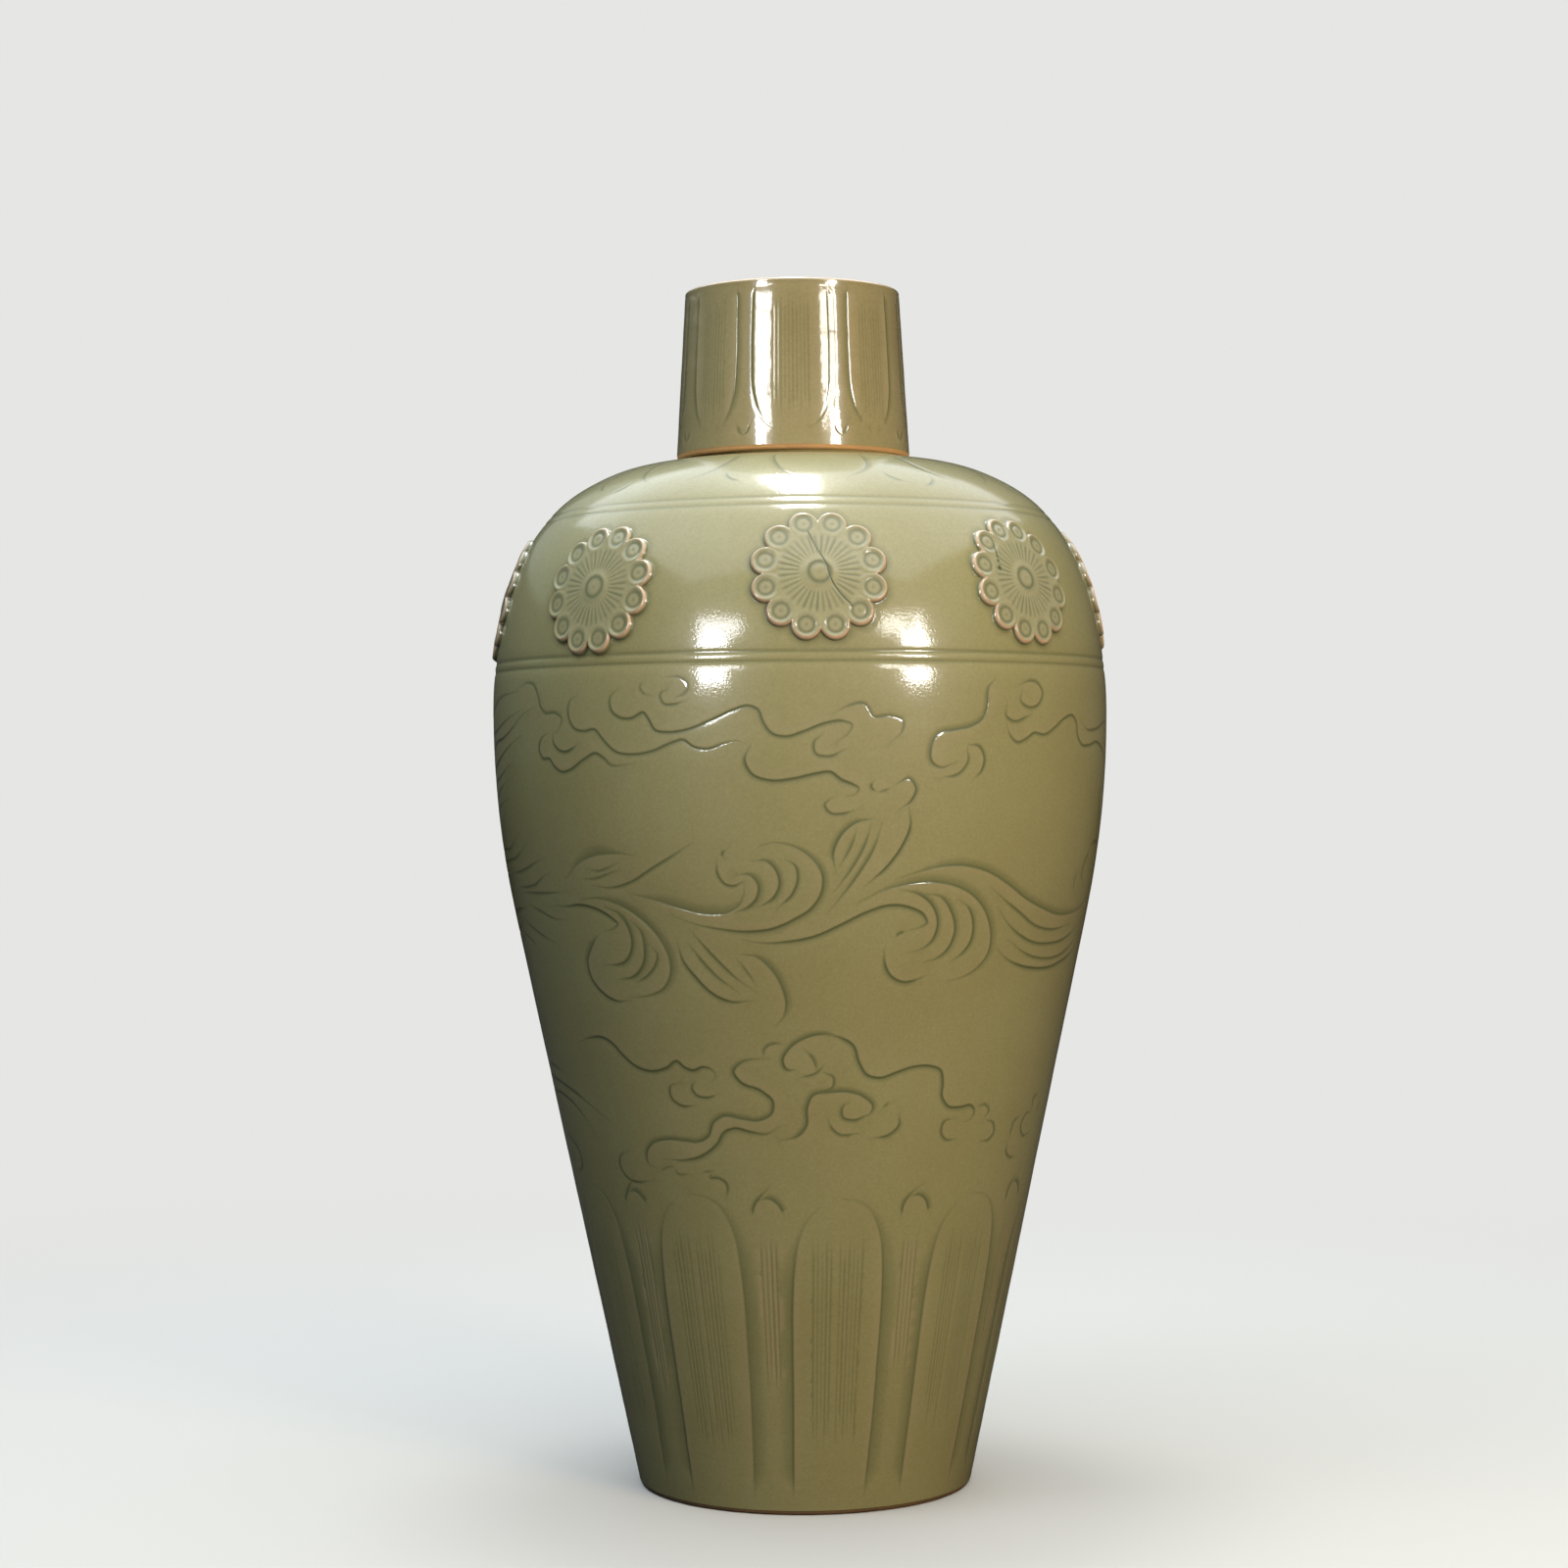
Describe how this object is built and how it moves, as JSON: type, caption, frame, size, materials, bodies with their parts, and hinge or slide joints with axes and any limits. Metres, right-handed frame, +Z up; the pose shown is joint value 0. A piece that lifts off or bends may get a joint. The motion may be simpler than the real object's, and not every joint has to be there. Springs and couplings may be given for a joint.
{
  "type": "lidded meiping vase",
  "caption": "Tall celadon stoneware vase with high shoulders, a narrow foot, carved body, moulded flower medallions and a loose cup-shaped cap over a short lipped neck.",
  "frame": {"origin": "centre of the foot, on the surface the vase stands on", "axes": "+Z up along the thrown axis, -Y towards the front medallion, +X to the right seen from the front"},
  "size_m": [0.2064, 0.2064, 0.3993],
  "materials": {
    "body_glaze": "satin",
    "cap_glaze": "gloss",
    "medallion_glaze": "satin"
  },
  "bodies": {
    "vase": {"lower_body": "body_glaze", "upper_body": "body_glaze", "shoulder": "body_glaze", "neck": "body_glaze", "medallion_1": "medallion_glaze", "medallion_2": "medallion_glaze", "medallion_3": "medallion_glaze", "medallion_4": "medallion_glaze", "medallion_5": "medallion_glaze", "medallion_6": "medallion_glaze", "medallion_7": "medallion_glaze", "medallion_8": "medallion_glaze"},
    "cap": {"cap": "cap_glaze"}
  },
  "joints": [
    {"name": "cap_lift", "type": "slide", "parent": "vase", "child": "cap", "axis": [0, 0, 1], "range_m": [0, 0.1]}
  ]
}
